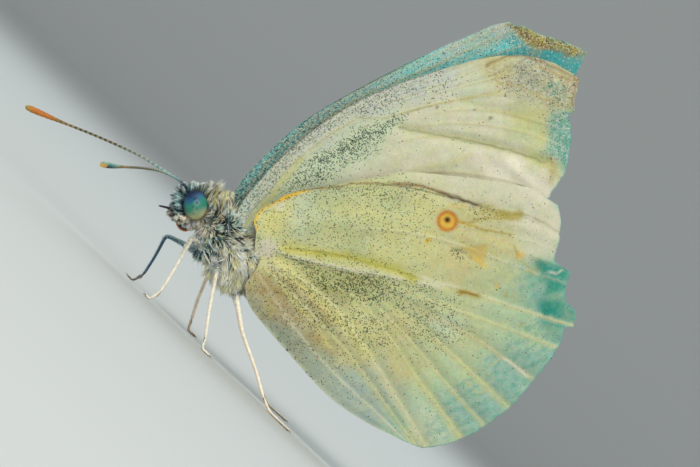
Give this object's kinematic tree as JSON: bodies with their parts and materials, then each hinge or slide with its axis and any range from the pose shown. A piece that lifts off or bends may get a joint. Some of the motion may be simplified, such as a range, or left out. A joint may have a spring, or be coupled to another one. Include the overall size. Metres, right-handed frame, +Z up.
{
  "type": "small white butterfly",
  "caption": "Life-size still model of a small white butterfly, standing on its legs with worn wings closed upright over its back and its feelers held forward.",
  "frame": {"origin": "on the floor, under the middle of the whole animal's bounding box", "axes": "+X from the head to the tail, +Y to the insect's right side, +Z up"},
  "size_m": [0.0358, 0.015, 0.0308],
  "materials": {
    "forewing": "matt scaled membrane, creamy white dusted with grey",
    "hindwing": "matt scaled membrane, pale yellow-green dusted with grey",
    "coat": "long silky hair, cream and grey over dark skin",
    "abdomen": "short scales, pale cream",
    "eye": "faceted, navy above to cream below",
    "palp": "bristly scales, cream with dark bristles",
    "proboscis": "smooth horny tube, orange-brown",
    "antenna": "scaled rings, brown and white, with an orange-brown club",
    "leg": "scaled limb, pale cream to grey"
  },
  "bodies": {
    "root": {"forewing_left": "forewing", "forewing_right": "forewing", "hindwing_left": "hindwing", "hindwing_right": "hindwing", "thorax": "coat", "abdomen": "abdomen", "head": "coat", "eye_left": "eye", "eye_right": "eye", "palp_left": "palp", "palp_right": "palp", "proboscis": "proboscis", "antenna_left": "antenna", "antenna_right": "antenna", "leg_front_left": "leg", "leg_front_right": "leg", "leg_mid_left": "leg", "leg_mid_right": "leg", "leg_hind_left": "leg", "leg_hind_right": "leg"}
  },
  "joints": []
}
